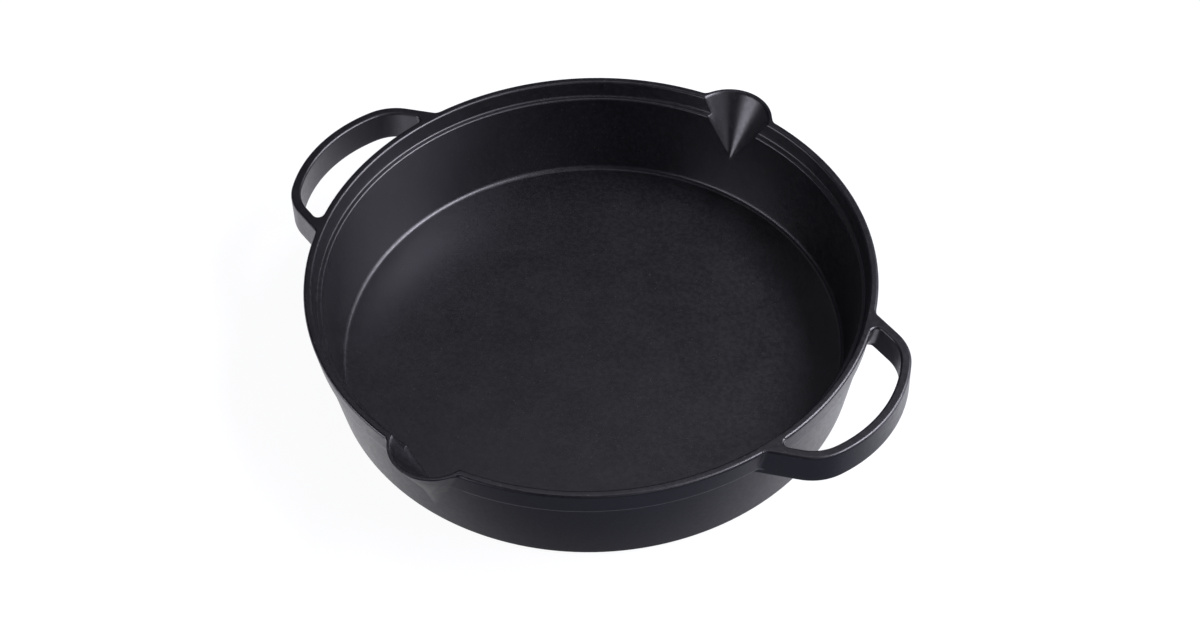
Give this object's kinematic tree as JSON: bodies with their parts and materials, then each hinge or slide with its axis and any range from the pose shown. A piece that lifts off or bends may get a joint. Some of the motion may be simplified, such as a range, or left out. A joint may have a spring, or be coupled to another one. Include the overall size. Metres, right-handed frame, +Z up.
{
  "type": "cast iron casserole pot",
  "caption": "Low round cast-iron casserole with a tapered wall, an inner lid ledge, loop handles level with the rim and conical pouring spouts, for stove and oven cooking.",
  "frame": {"origin": "middle of the underside, on the surface that the pot stands on", "axes": "+Z up out of the pot's mouth, +X towards the right handle, +Y towards the back spout"},
  "size_m": [0.3584, 0.3228, 0.0605],
  "materials": {
    "seasoned_iron": "satin black seasoned cast iron with a fine matt grain"
  },
  "bodies": {
    "root": {"base_plate": "seasoned_iron", "side_wall": "seasoned_iron", "rim_right": "seasoned_iron", "rim_left": "seasoned_iron", "pour_spout_back": "seasoned_iron", "pour_spout_front": "seasoned_iron", "handle_right": "seasoned_iron", "handle_left": "seasoned_iron"}
  },
  "joints": []
}
